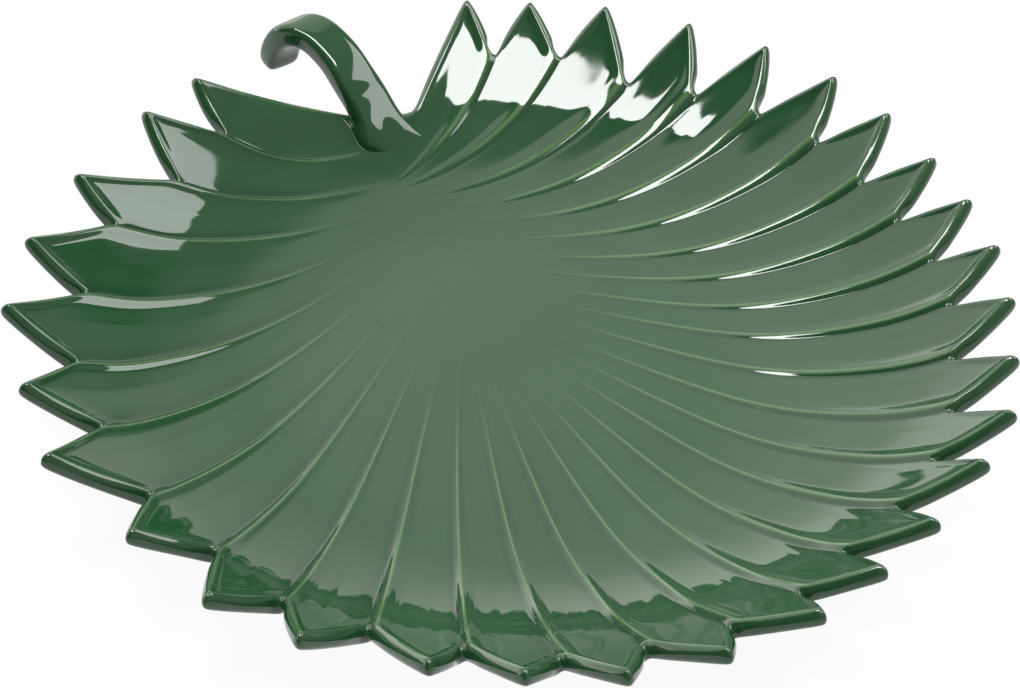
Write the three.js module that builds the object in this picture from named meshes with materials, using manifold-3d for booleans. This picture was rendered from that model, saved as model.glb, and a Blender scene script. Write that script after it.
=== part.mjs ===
import * as THREE from "three";
import { mergeVertices } from "three/addons/utils/BufferGeometryUtils.js";
import Module from "manifold-3d";

// Glazed earthenware serving platter in the form of a fan palm leaf.
// Millimetres, +Z up, +Y towards the stem. Bearings run clockwise from +Y, seen from above.

// Leaf: the dished, pleated body
const TIP_RADIUS = 160; // middle of the platter to the leaflet tips
const WELL_RADIUS = 55; // the level middle, out to where the sides begin to rise
const SIDE_SETBACK = 38; // where the side has its full slope, in from the tips
const SIDE_SLOPE = 0.39; // and that slope
const CURL_SETBACK = 40; // where the rim begins to curl up, in from the tips
const CURL_RUN = 15; // how far out the curl grows
const CURL_SLOPE = 0.24; // slope that the curl adds to the side
const WALL = 4.2; // wall, square to the surface
const RIM_WALL = 6.4; // and at the tips, where it is thicker
const EDGE_LEAN = 1.5; // how far the edge leans in, from the top to the underside
const PLEAT_HEIGHT = 2.2; // a crest above the valley beside it, at the notches
const PLEAT_STEP = 1.8; // plan width of the drop from a crest to the next valley
const TIP_FLAT = 2.5; // blunt end of each tip

// Leaflets: bearing of the first tip, then the turn from each tip to the next, in degrees
const FIRST_TIP = 19;
const TIP_PITCH = [
  8, 10, 11.5, 11, 10.5, 9.5, 9.5, 9, 9.5, 9, 11, 9.5, 8, 11, 9, 9, 11, 10, 10, 10, 12, 11.5, 13.5, 14, 13, 12,
  12.5, 13.5, 14.5, 9,
];
// Notches: turn from each tip to the notch after it, in degrees, and how far the notch reaches in from the tips
const NOTCH_TURN = [
  3, 4.5, 5, 4, 3, 3.5, 4, 4, 5, 4.5, 5.5, 5, 4.5, 6.5, 5, 6, 6.5, 6, 6, 6.5, 8, 7.5, 9.5, 9, 9, 7.5, 9, 10.5,
  10.5, 7,
];
const NOTCH_DEPTH = [
  14, 14.5, 20, 18, 17, 16.5, 18, 18, 16, 16, 17, 15, 13, 14.5, 15.5, 12.5, 12, 12, 12, 16.5, 21.5, 21, 27, 24,
  21, 16.5, 16, 14.5, 19, 15.5,
];

// Midrib: the smooth line in the leaf that the pleats run out from
const MIDRIB_FRONT = 35.5; // its front end, from the middle of the platter
const MIDRIB_SETBACK = 55; // its back end, in from the tips
const HUB_RADIUS = 8; // smooth leaf round the midrib
const BOW_ALL_ROUND = 0.02; // how far pleats bow clockwise on their way to the rim, as a share of their length
const BOW_RIGHT = 0.045; // more of it on the right, and less on the left
const BOW_CORNERS = 0.025; // more of it at the back right and the front left

// Sinus: the gap between the last and first leaflets, with the stem at its foot
const SINUS_LEFT_X = -5;
const SINUS_LEFT_DEPTH = 25; // how far its left corner reaches in from the tips
const SINUS_RIGHT_X = 16.5;
const SINUS_RIGHT_DEPTH = 32.5;

// Foot ring
const FOOT_OFFSET = 3; // middle of its tread, out from where the sides begin to rise
const FOOT_SPREAD = 20; // the leaf's level underside, out from there
const FOOT_TREAD = 6;
const FOOT_FLARE = 2; // each side, where it meets the leaf
const FOOT_HEIGHT = 4;

// Stem handle: a strap that sweeps up out of the leaf, arches over and turns to the left
const STEM_WIDE = [17, 13.5]; // at the root and at the end
const STEM_THICK = [10, 8.5];
const STEM_TURN = [9.5, 30]; // degrees to the left of the leaf's axis
const STEM_ROUND = 4; // length of the rounded end
const STEM_PATH = [
  [2.7, 32.8, -13.8],
  [1.5, 28.1, -9.4],
  [-0.1, 22.8, -3.6],
  [-3, 15.9, 1.7],
  [-7.5, 7.3, 5.3],
  [-12.7, -0.9, 3.7],
  [-17.1, -6.6, -4.4],
  [-17.5, -7.2, -14],
]; // middle of the strap: to the right, in from the tips and above them
const ROOT_BEHIND = 2.8; // how far the root reaches out behind the leaf's edge in the sinus
const ROOT_CORNERS = [
  [-4.8, 42.5],
  [17.5, 46.5],
  [SINUS_RIGHT_X - 2, SINUS_RIGHT_DEPTH - ROOT_BEHIND],
  [SINUS_LEFT_X - 0.5, SINUS_LEFT_DEPTH - ROOT_BEHIND],
]; // the root on the leaf, front left, front right, back right and back left: to the right, and in from the tips
const SEAT_GAP = 0.2; // film of slip between the stem and the leaf
const SEAT_SINK = 2; // the root is formed this deep before the leaf cuts it

// Steps
const PLEAT_ROWS = 8; // from the midrib to the notches
const TIP_ROWS = 2; // from the notches to the tips
const ROOT_RINGS = 4;
const STEM_RINGS = 20;
const STEM_SIDES = 20;
const FOOT_SIDES = 64;

const wasm = await Module();
wasm.setup();

const radians = THREE.MathUtils.degToRad;
const smooth = THREE.MathUtils.smoothstep;
const mix = THREE.MathUtils.lerp;
const MIDDLE = new THREE.Vector2();
const WELL_FLOOR = FOOT_HEIGHT + WALL;
const MIDRIB_BACK = TIP_RADIUS - MIDRIB_SETBACK;
const CURL_RADIUS = TIP_RADIUS - CURL_SETBACK;
const FOOT_RADIUS = WELL_RADIUS + FOOT_OFFSET;
const UP = new THREE.Vector3(0, 0, 1);

// The dish's two bends: where each one starts, where it ends and the slope that it adds
const BENDS = [
  [WELL_RADIUS, TIP_RADIUS - SIDE_SETBACK, SIDE_SLOPE],
  [CURL_RADIUS, CURL_RADIUS + CURL_RUN, CURL_SLOPE],
];

// Point on the plan at a bearing in degrees and a distance from the middle.
function planPoint(bearing, radius) {
  const turn = radians(bearing);
  return new THREE.Vector2(radius * Math.sin(turn), radius * Math.cos(turn));
}

// Point on the plan a step clockwise round the middle from another one.
function stepClockwise(point, step) {
  const radius = point.length();
  return point.clone().rotateAround(MIDDLE, -step / radius);
}

// Height of the smooth dish above the well floor.
function dishHeight(radius) {
  let height = 0;
  for (const [start, stop, slope] of BENDS) {
    const share = Math.max(0, (radius - start) / (stop - start));
    const bent = Math.min(share, 1);
    height += slope * (stop - start) * (bent ** 3 - bent ** 4 / 2 + share - bent);
  }
  return height;
}

// Upright thickness that gives the wall its thickness square to the sloping side, thicker towards the tips.
function uprightWall(radius) {
  const slopes = BENDS.map(([start, stop, slope]) => slope * smooth(radius, start, stop));
  const wall = mix(WALL, RIM_WALL, smooth(radius, CURL_RADIUS, TIP_RADIUS));
  return wall * Math.hypot(1, slopes[0] + slopes[1]);
}

// Place where a pleat leaves the hub, on its way from the midrib to a point of the rim.
function hubPoint(rimPoint) {
  const towardsStem = (1 + rimPoint.y / rimPoint.length()) / 2;
  const along = mix(MIDRIB_FRONT, MIDRIB_BACK, towardsStem);
  const start = new THREE.Vector2(0, along);
  const heading = rimPoint.clone().sub(start).normalize();
  return start.addScaledVector(heading, HUB_RADIUS);
}

// How far a pleat from the hub to a point of the rim bows to the side, at the middle of its length.
function pleatBow(hub, rimPoint) {
  const bearing = Math.atan2(rimPoint.x, rimPoint.y);
  const share = BOW_ALL_ROUND + BOW_RIGHT * Math.sin(bearing) + BOW_CORNERS * Math.sin(2 * bearing);
  return share * hub.distanceTo(rimPoint);
}

// One line of the leaf from the hub to the edge, with its share of the pleat's height on the way.
function column(notchLine, edge, share, edgeShare) {
  const hub = hubPoint(notchLine);
  const heading = notchLine.clone().sub(hub).normalize();
  const clockwise = new THREE.Vector2(heading.y, -heading.x);
  const bow = pleatBow(hub, notchLine);
  const points = [];
  for (let row = 0; row <= PLEAT_ROWS; row++) {
    const out = row / PLEAT_ROWS;
    const plan = hub.clone().lerp(notchLine, out);
    plan.addScaledVector(clockwise, bow * 4 * out * (1 - out));
    points.push({ plan, lift: PLEAT_HEIGHT * share * smooth(out, 0, 1) });
  }
  for (let row = 1; row <= TIP_ROWS; row++) {
    const out = row / TIP_ROWS;
    const plan = notchLine.clone().lerp(edge, out);
    points.push({ plan, lift: PLEAT_HEIGHT * mix(share, edgeShare, out) });
  }
  return points;
}

// The lines of one leaflet, from the valley on its left to the crest on its right.
function leafletColumns(left, right, tipBearing, pleat) {
  const tip = planPoint(tipBearing, TIP_RADIUS);
  const tipLeft = stepClockwise(tip, -TIP_FLAT / 2);
  const tipRight = stepClockwise(tip, TIP_FLAT / 2);
  const across = (share) => left.clone().lerp(right, share);
  return [
    column(left, left, 0, 0),
    column(across(0.25), left.clone().lerp(tipLeft, 0.5), 0.1 * pleat, 0.3 * pleat),
    column(across(0.48), tipLeft, 0.35 * pleat, 0.8 * pleat),
    column(across(0.54), tipRight, 0.4 * pleat, 0.8 * pleat),
    column(across(0.8), tipRight.clone().lerp(right, 0.5), 0.75 * pleat, pleat),
    column(right, right, pleat, pleat),
  ];
}

// All the lines of the leaf, clockwise from the stem and back to it.
function leafColumns() {
  const sinusRight = new THREE.Vector2(SINUS_RIGHT_X, TIP_RADIUS - SINUS_RIGHT_DEPTH);
  const sinusLeft = new THREE.Vector2(SINUS_LEFT_X, TIP_RADIUS - SINUS_LEFT_DEPTH);
  const sinusMiddle = sinusLeft.clone().lerp(sinusRight, 0.5);
  const columns = [];
  const last = TIP_PITCH.length;
  let left = sinusRight;
  let tipBearing = FIRST_TIP;
  for (let leaflet = 0; leaflet < last; leaflet++) {
    const right = planPoint(tipBearing + NOTCH_TURN[leaflet], TIP_RADIUS - NOTCH_DEPTH[leaflet]);
    columns.push(...leafletColumns(left, right, tipBearing, 1));
    left = stepClockwise(right, PLEAT_STEP);
    tipBearing += TIP_PITCH[leaflet];
  }
  columns.push(...leafletColumns(left, sinusLeft, tipBearing, 0));
  columns.push(column(sinusMiddle, sinusMiddle, 0, 0));
  return columns;
}

function topPoint({ plan, lift }) {
  const radius = plan.length();
  return new THREE.Vector3(plan.x, plan.y, WELL_FLOOR + dishHeight(radius) + lift);
}

// The underside is level over the foot ring, follows the pleats further out and ends inside the top's edge.
function undersidePoint({ plan, lift }) {
  const radius = plan.length();
  const level = WELL_RADIUS + FOOT_SPREAD;
  const follow = smooth(radius, level, CURL_RADIUS);
  const top = WELL_FLOOR + dishHeight(radius) + lift * follow;
  const height = top - uprightWall(radius) - dishHeight(level) * (1 - follow);
  const inside = plan.clone().multiplyScalar(1 - (EDGE_LEAN * follow) / Math.max(radius, WELL_RADIUS));
  return new THREE.Vector3(inside.x, inside.y, Math.max(FOOT_HEIGHT, height));
}

// Closed geometry from a list of triangles, without those that have shrunk to a line.
function closedGeometry(triangles) {
  const places = [];
  for (const [a, b, c] of triangles) {
    const shrunk = Math.min(a.distanceTo(b), b.distanceTo(c), c.distanceTo(a)) < 1e-4;
    if (!shrunk) {
      places.push(...a.toArray(), ...b.toArray(), ...c.toArray());
    }
  }
  const geometry = new THREE.BufferGeometry();
  geometry.setAttribute("position", new THREE.Float32BufferAttribute(places, 3));
  const merged = mergeVertices(geometry, 1e-3);
  merged.computeVertexNormals();
  return merged;
}

// Faces across the hub, from its two sides in turn; the loop runs clockwise.
function hubFaces(loop) {
  const count = loop.length;
  const start = loop.reduce((best, point, at) => (point.y > loop[best].y ? at : best), 0);
  const at = (step) => loop[(start + step) % count];
  const faces = [[at(0), at(count - 1), at(1)]];
  let right = 1;
  let left = count - 1;
  while (left - right > 1) {
    if (at(right + 1).y >= at(left - 1).y) {
      faces.push([at(right), at(left), at(right + 1)]);
      right += 1;
    } else {
      faces.push([at(right), at(left), at(left - 1)]);
      left -= 1;
    }
  }
  return faces;
}

function leafGeometry() {
  const columns = leafColumns();
  const tops = columns.map((points) => points.map(topPoint));
  const undersides = columns.map((points) => points.map(undersidePoint));
  const edge = PLEAT_ROWS + TIP_ROWS;
  const triangles = [];
  for (let at = 0; at < columns.length; at++) {
    const next = (at + 1) % columns.length;
    for (let row = 0; row < edge; row++) {
      const [a, b] = [tops[at], tops[next]];
      triangles.push([a[row], b[row], a[row + 1]]);
      triangles.push([b[row], b[row + 1], a[row + 1]]);
      const [c, d] = [undersides[at], undersides[next]];
      triangles.push([c[row], c[row + 1], d[row]]);
      triangles.push([d[row], c[row + 1], d[row + 1]]);
    }
    triangles.push([tops[at][edge], tops[next][edge], undersides[at][edge]]);
    triangles.push([tops[next][edge], undersides[next][edge], undersides[at][edge]]);
  }
  triangles.push(...hubFaces(tops.map((points) => points[0])));
  const below = hubFaces(undersides.map((points) => points[0]));
  triangles.push(...below.map(([a, b, c]) => [a, c, b]));
  return closedGeometry(triangles);
}

// Outline of the strap: a rounded oblong about its middle, as shares of its half sizes.
function strapOutline() {
  const outline = [];
  for (let side = 0; side < STEM_SIDES; side++) {
    const turn = (2 * Math.PI * side) / STEM_SIDES;
    const rounded = (value) => Math.sign(value) * Math.abs(value) ** 0.6;
    outline.push([rounded(Math.cos(turn)), rounded(Math.sin(turn))]);
  }
  return outline;
}

// Plan point of the root on the leaf, for a point of the outline.
function rootPoint(wide, thick) {
  const corners = ROOT_CORNERS.map(([x, setback]) => new THREE.Vector2(x, TIP_RADIUS - setback));
  const front = corners[0].lerp(corners[1], (1 + wide) / 2);
  const back = corners[3].lerp(corners[2], (1 + wide) / 2);
  return front.lerp(back, (1 - thick) / 2);
}

// Place on the leaf's smooth upper face, at a height above it.
function onLeaf(plan, above) {
  return new THREE.Vector3(plan.x, plan.y, WELL_FLOOR + dishHeight(plan.length()) + above);
}

// Place on a curve from one point to another, with the headings that it starts and ends with.
function sweep(start, stop, startHeading, stopHeading, along) {
  const reach = start.distanceTo(stop);
  const middle = along * along * (3 - 2 * along);
  const place = start.clone().lerp(stop, middle);
  place.addScaledVector(startHeading, reach * along * (1 - along) ** 2);
  return place.addScaledVector(stopHeading, -reach * along ** 2 * (1 - along));
}

// The strap before the leaf cuts its root.
function stemBlank() {
  const rim = WELL_FLOOR + dishHeight(TIP_RADIUS);
  const places = STEM_PATH.map(([x, setback, up]) => new THREE.Vector3(x, TIP_RADIUS - setback, rim + up));
  const path = new THREE.CatmullRomCurve3(places, false, "centripetal");
  const length = path.getLength();
  const outline = strapOutline();

  const strapRings = [];
  for (let ring = 0; ring <= STEM_RINGS; ring++) {
    const along = ring / STEM_RINGS;
    const middle = path.getPointAt(along);
    const turn = radians(mix(...STEM_TURN, along));
    const sideways = new THREE.Vector3(Math.cos(turn), Math.sin(turn), 0);
    const facing = new THREE.Vector3().crossVectors(sideways, path.getTangentAt(along)).normalize();
    const left = Math.max(0, 1 - (length * (1 - along)) / STEM_ROUND);
    const size = Math.sqrt(Math.max(0.05, 1 - left * left)) / 2;
    strapRings.push(
      outline.map(([wide, thick]) => {
        const point = middle.clone().addScaledVector(sideways, wide * size * mix(...STEM_WIDE, along));
        return point.addScaledVector(facing, thick * size * mix(...STEM_THICK, along));
      }),
    );
  }

  const heading = path.getTangentAt(0);
  const rootRings = [outline.map(([wide, thick]) => onLeaf(rootPoint(wide, thick), -SEAT_SINK))];
  for (let ring = 0; ring < ROOT_RINGS; ring++) {
    rootRings.push(
      outline.map(([wide, thick], side) => {
        const start = onLeaf(rootPoint(wide, thick), 0);
        const stop = strapRings[0][side];
        const inward = new THREE.Vector3(stop.x - start.x, stop.y - start.y, 0).normalize();
        const startHeading = UP.clone().lerp(inward, smooth(wide, -0.8, 0.2));
        return sweep(start, stop, startHeading, heading, ring / ROOT_RINGS);
      }),
    );
  }

  const rings = [...rootRings, ...strapRings];
  const triangles = [];
  for (let ring = 0; ring + 1 < rings.length; ring++) {
    for (let side = 0; side < STEM_SIDES; side++) {
      const next = (side + 1) % STEM_SIDES;
      triangles.push([rings[ring][side], rings[ring + 1][side], rings[ring][next]]);
      triangles.push([rings[ring][next], rings[ring + 1][side], rings[ring + 1][next]]);
    }
  }
  for (const [ring, turned] of [[rings[0], false], [rings.at(-1), true]]) {
    for (let side = 1; side + 1 < STEM_SIDES; side++) {
      const face = [ring[0], ring[side], ring[side + 1]];
      triangles.push(turned ? face.reverse() : face);
    }
  }
  return closedGeometry(triangles);
}

function solidOf(geometry) {
  const mesh = new wasm.Mesh({
    numProp: 3,
    vertProperties: new Float32Array(geometry.getAttribute("position").array),
    triVerts: new Uint32Array(geometry.index.array),
  });
  return new wasm.Manifold(mesh);
}

function geometryOf(solid) {
  const mesh = solid.getMesh();
  const places = [];
  for (let at = 0; at < mesh.numVert; at++) {
    places.push(...mesh.vertProperties.subarray(at * mesh.numProp, at * mesh.numProp + 3));
  }
  const geometry = new THREE.BufferGeometry();
  geometry.setAttribute("position", new THREE.Float32BufferAttribute(places, 3));
  geometry.setIndex([...mesh.triVerts]);
  geometry.computeVertexNormals();
  return geometry;
}

// The strap with its root cut to the leaf, with a film of slip over the leaf and behind its edge.
function stemGeometry(leaf) {
  const seat = solidOf(leaf).translate([0, SEAT_GAP, 2 * SEAT_GAP]);
  return geometryOf(solidOf(stemBlank()).subtract(seat));
}

function footGeometry() {
  const tread = FOOT_TREAD / 2;
  const top = tread + FOOT_FLARE;
  const profile = [
    new THREE.Vector2(FOOT_RADIUS - tread, 0),
    new THREE.Vector2(FOOT_RADIUS + tread, 0),
    new THREE.Vector2(FOOT_RADIUS + top, FOOT_HEIGHT),
    new THREE.Vector2(FOOT_RADIUS - top, FOOT_HEIGHT),
    new THREE.Vector2(FOOT_RADIUS - tread, 0),
  ];
  return new THREE.LatheGeometry(profile, FOOT_SIDES).rotateX(Math.PI / 2);
}

const glaze = new THREE.MeshStandardMaterial({ color: 0x2f5a3c, roughness: 0.08, metalness: 0 });
const bareClay = new THREE.MeshStandardMaterial({ color: 0xd8cdb8, roughness: 0.8, metalness: 0 });

function piece(name, geometry, material) {
  const mesh = new THREE.Mesh(geometry, material);
  mesh.name = name;
  return mesh;
}

const leaf = leafGeometry();
const pieces = new THREE.Group();
pieces.add(piece("leaf_dish", leaf, glaze));
pieces.add(piece("stem_handle", stemGeometry(leaf), glaze.clone()));
pieces.add(piece("foot_ring", footGeometry(), bareClay));

// The frame's origin is on the table, under the middle of the platter's overall length and width.
const middle = new THREE.Box3().setFromObject(pieces).getCenter(new THREE.Vector3());
pieces.position.set(-middle.x, -middle.y, 0);

const platter = new THREE.Group();
platter.name = "platter";
platter.add(pieces);

export default platter;
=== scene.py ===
"""A glazed earthenware platter in the form of a fan palm leaf, with its stem as a handle.

Metres, +Z up, +Y towards the stem. Bearings run clockwise from +Y, seen from above, in degrees.
"""

import logging
import math
from dataclasses import dataclass, field
from enum import Enum
from typing import Any, Sequence

import bpy
import numpy as np
from mathutils import Matrix, Vector
from mathutils.kdtree import KDTree


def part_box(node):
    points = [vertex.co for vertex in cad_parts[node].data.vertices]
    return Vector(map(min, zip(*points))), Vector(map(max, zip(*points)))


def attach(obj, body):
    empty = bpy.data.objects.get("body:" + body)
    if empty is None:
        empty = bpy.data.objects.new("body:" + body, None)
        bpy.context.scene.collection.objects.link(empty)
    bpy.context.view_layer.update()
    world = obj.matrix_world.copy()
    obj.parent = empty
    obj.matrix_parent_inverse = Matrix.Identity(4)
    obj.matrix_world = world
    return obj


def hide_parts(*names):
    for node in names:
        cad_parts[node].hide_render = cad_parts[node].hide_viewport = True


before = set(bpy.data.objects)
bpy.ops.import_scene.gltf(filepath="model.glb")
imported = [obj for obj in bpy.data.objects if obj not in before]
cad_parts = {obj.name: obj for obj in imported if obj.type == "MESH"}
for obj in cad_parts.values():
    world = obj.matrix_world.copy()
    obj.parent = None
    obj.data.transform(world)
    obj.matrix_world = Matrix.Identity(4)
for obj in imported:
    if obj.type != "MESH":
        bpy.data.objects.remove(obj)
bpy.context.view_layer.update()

MM = 0.001
PICTURE_WIDTH = 1020
RIM_ABOVE_WELL = 37.4 * MM
ROOT_BODY = "root"
# Mesh attribute of thinning and pooling glaze, which also carries painted highlight on crests and edge tops
# and painted shade in valleys and down drops
GLAZE_BREAK_AND_LIGHT = "glaze_break_and_light"
WELD = 0.002 * MM
CURVE_STEPS = 24

log = logging.getLogger("platter")


class Slot(Enum):
    """The record's material slots."""

    LEAF = "leaf_glaze"
    STEM = "stem_glaze"
    FOOT = "bare_clay"


def ease(value: np.ndarray | float, low: float, high: float) -> np.ndarray:
    """Rise smoothly from 0 to 1 between two values.

    Args:
        value: Where to read the rise.
        low: Value at which the rise starts.
        high: Value at which it ends.

    Returns:
        The share of the rise, with level ends.
    """
    share = np.clip((np.asarray(value, float) - low) / (high - low), 0.0, 1.0)
    return share * share * (3.0 - 2.0 * share)


def plan_point(bearing: float, radius: float) -> np.ndarray:
    """Return the plan point at a bearing and a distance from the middle of the platter."""
    turn = math.radians(bearing)
    return np.array([radius * math.sin(turn), radius * math.cos(turn)])


def unit(vectors: np.ndarray) -> np.ndarray:
    """Return vectors of length one, along the last axis."""
    return vectors / np.maximum(np.linalg.norm(vectors, axis=-1, keepdims=True), 1e-12)


def smooth_path(points: np.ndarray, count: int) -> np.ndarray:
    """Lay a smooth curve through a few points.

    Args:
        points: The points, one row each.
        count: How many places to return, evenly spaced along the curve.

    Returns:
        The places, from the first point to the last.
    """
    ends = np.vstack([2 * points[0] - points[1], points, 2 * points[-1] - points[-2]])
    steps = np.linspace(0.0, 1.0, CURVE_STEPS, endpoint=False)[:, None]
    curve = []
    for before, start, stop, after in zip(ends, ends[1:], ends[2:], ends[3:]):
        bend = 2 * before - 5 * start + 4 * stop - after
        twist = -before + 3 * start - 3 * stop + after
        curve.append(start + 0.5 * steps * (stop - before + steps * (bend + steps * twist)))
    places = np.vstack([*curve, points[-1:]])
    run = np.concatenate([[0.0], np.cumsum(np.linalg.norm(np.diff(places, axis=0), axis=1))])
    wanted = np.linspace(0.0, run[-1], count)
    return np.stack([np.interp(wanted, run, places[:, axis]) for axis in range(places.shape[1])], axis=1)


class Clay:
    """Mesh work that the pieces share."""

    @staticmethod
    def wrapped_sheet(
        name: str, loops: np.ndarray, break_and_light_values: np.ndarray | None = None
    ) -> bpy.types.Object:
        """Roll a flat grid up into a tube of loops, with open ends.

        Args:
            name: Name of the piece.
            loops: Places of the loops' points, as (loop, point, 3).
            break_and_light_values: Share of thinning glaze, with painted highlight, at each point, below 0
                for pooling glaze, with painted shade, as (loop, point).

        Returns:
            The tube, without a seam.
        """
        count, sides = loops.shape[:2]
        bpy.ops.object.select_all(action="DESELECT")
        bpy.ops.mesh.primitive_grid_add(x_subdivisions=sides, y_subdivisions=count - 1)
        piece = bpy.context.object
        piece.name = name
        piece.data.name = name
        wrapped = np.concatenate([loops, loops[:, :1]], axis=1)
        piece.data.vertices.foreach_set("co", wrapped.astype(np.float32).ravel())
        if break_and_light_values is not None:
            values = np.concatenate([break_and_light_values, break_and_light_values[:, :1]], axis=1)
            layer = piece.data.attributes.new(GLAZE_BREAK_AND_LIGHT, "FLOAT", "POINT")
            layer.data.foreach_set("value", values.astype(np.float32).ravel())
        bpy.ops.object.mode_set(mode="EDIT")
        bpy.ops.mesh.select_all(action="SELECT")
        bpy.ops.mesh.remove_doubles(threshold=WELD)
        bpy.ops.mesh.normals_make_consistent(inside=False)
        bpy.ops.object.mode_set(mode="OBJECT")
        return piece

    @staticmethod
    def close_ends(piece: bpy.types.Object, ends: Sequence[np.ndarray]) -> None:
        """Fill the holes at the ends of a tube.

        Args:
            piece: The tube.
            ends: Places along the rim of each hole.
        """
        bpy.ops.object.mode_set(mode="EDIT")
        bpy.ops.mesh.select_mode(type="VERT")
        bpy.ops.mesh.select_all(action="DESELECT")
        bpy.ops.mesh.select_non_manifold()
        bpy.ops.object.mode_set(mode="OBJECT")
        rims = np.empty(len(piece.data.vertices), bool)
        piece.data.vertices.foreach_get("select", rims)
        tree = KDTree(sum(len(end) for end in ends))
        for number, end in enumerate(ends):
            for point in end:
                tree.insert(point, number)
        tree.balance()
        for number in range(len(ends)):
            bpy.ops.object.mode_set(mode="EDIT")
            bpy.ops.mesh.select_all(action="DESELECT")
            bpy.ops.object.mode_set(mode="OBJECT")
            for index in np.flatnonzero(rims):
                vertex = piece.data.vertices[index]
                vertex.select = tree.find(vertex.co)[1] == number
            bpy.ops.object.mode_set(mode="EDIT")
            bpy.ops.mesh.fill()
            bpy.ops.object.mode_set(mode="OBJECT")
        bpy.ops.object.mode_set(mode="EDIT")
        bpy.ops.mesh.select_all(action="SELECT")
        bpy.ops.mesh.normals_make_consistent(inside=False)
        bpy.ops.object.mode_set(mode="OBJECT")

    @staticmethod
    def soften(piece: bpy.types.Object, levels: int) -> None:
        """Round a piece with an applied subdivision surface and shade it smooth.

        Args:
            piece: The piece.
            levels: How often its faces are divided.
        """
        bpy.ops.object.select_all(action="DESELECT")
        piece.select_set(True)
        bpy.context.view_layer.objects.active = piece
        rounding = piece.modifiers.new("rounding", "SUBSURF")
        rounding.levels = levels
        rounding.render_levels = levels
        bpy.ops.object.modifier_apply(modifier=rounding.name)
        bpy.ops.object.shade_smooth()

    @staticmethod
    def finish(piece: bpy.types.Object, node: str, slot: Slot, material: bpy.types.Material) -> None:
        """Dress a finished piece and put it in the place of its CAD node.

        Args:
            piece: The piece.
            node: The CAD node that it replaces.
            slot: The record's slot for its material; not used.
            material: The finish.
        """
        piece.data.materials.clear()
        piece.data.materials.append(material)
        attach(piece, ROOT_BODY)
        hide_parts(node)
        log.info("%s: %d faces, for %s", piece.name, len(piece.data.polygons), node)


@dataclass
class Dish:
    """The smooth dish that carries the pleats and the stem."""

    middle: np.ndarray
    floor: float
    side_start: float = 55 * MM
    side_full: float = 122 * MM
    side_slope: float = 0.395
    curl_start: float = 120 * MM
    curl_full: float = 135 * MM
    curl_slope: float = 0.265
    tip_start: float = 143 * MM
    tip_full: float = 163 * MM
    tip_slope: float = 0.26
    tip_curl_from: tuple[float, float] = (-0.98, -0.75)

    def bends(self, plan: np.ndarray) -> Sequence[tuple[float, float, np.ndarray | float]]:
        """Return the dish's bends at plan points.

        Args:
            plan: Plan points, about the middle of the platter.

        Returns:
            Where each bend starts and ends, and the slope that it adds.
        """
        radius = np.maximum(np.linalg.norm(plan, axis=-1), 1e-9)
        curled = ease(plan[..., 1] / radius, *self.tip_curl_from)
        return (
            (self.side_start, self.side_full, self.side_slope),
            (self.curl_start, self.curl_full, self.curl_slope),
            (self.tip_start, self.tip_full, self.tip_slope * curled),
        )

    def slope(self, plan: np.ndarray) -> np.ndarray:
        """Return the upper face's outward slope at plan points."""
        radius = np.linalg.norm(plan, axis=-1)
        return sum(added * ease(radius, start, stop) for start, stop, added in self.bends(plan))

    def height(self, plan: np.ndarray) -> np.ndarray:
        """Return the height of the dish's upper face at plan points.

        Args:
            plan: Plan points, about the middle of the platter.

        Returns:
            The heights.
        """
        radius = np.linalg.norm(plan, axis=-1)
        total = self.floor
        for start, stop, added in self.bends(plan):
            share = np.maximum(0.0, (radius - start) / (stop - start))
            bent = np.minimum(share, 1.0)
            total = total + added * (stop - start) * (bent**3 - bent**4 / 2 + share - bent)
        return total

    def normal(self, plan: np.ndarray) -> np.ndarray:
        """Return the upper face's normals at plan points.

        Args:
            plan: Plan points, about the middle of the platter.

        Returns:
            The normals, of length one.
        """
        radius = np.linalg.norm(plan, axis=-1, keepdims=True)
        outward = plan / np.maximum(radius, 1e-9)
        return unit(np.concatenate([-self.slope(plan)[..., None] * outward, np.ones_like(radius)], axis=-1))

    def place(self, plan: np.ndarray, height: np.ndarray) -> np.ndarray:
        """Return plan points about the middle, with their heights, as places in the frame."""
        return np.concatenate([plan + self.middle, np.asarray(height)[..., None]], axis=-1)


@dataclass(frozen=True)
class Leaflet:
    """One leaflet: bearing and distance of its tip, then of the notch after it, in degrees and mm."""

    tip_bearing: float
    tip_out: float
    notch_bearing: float
    notch_out: float


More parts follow.
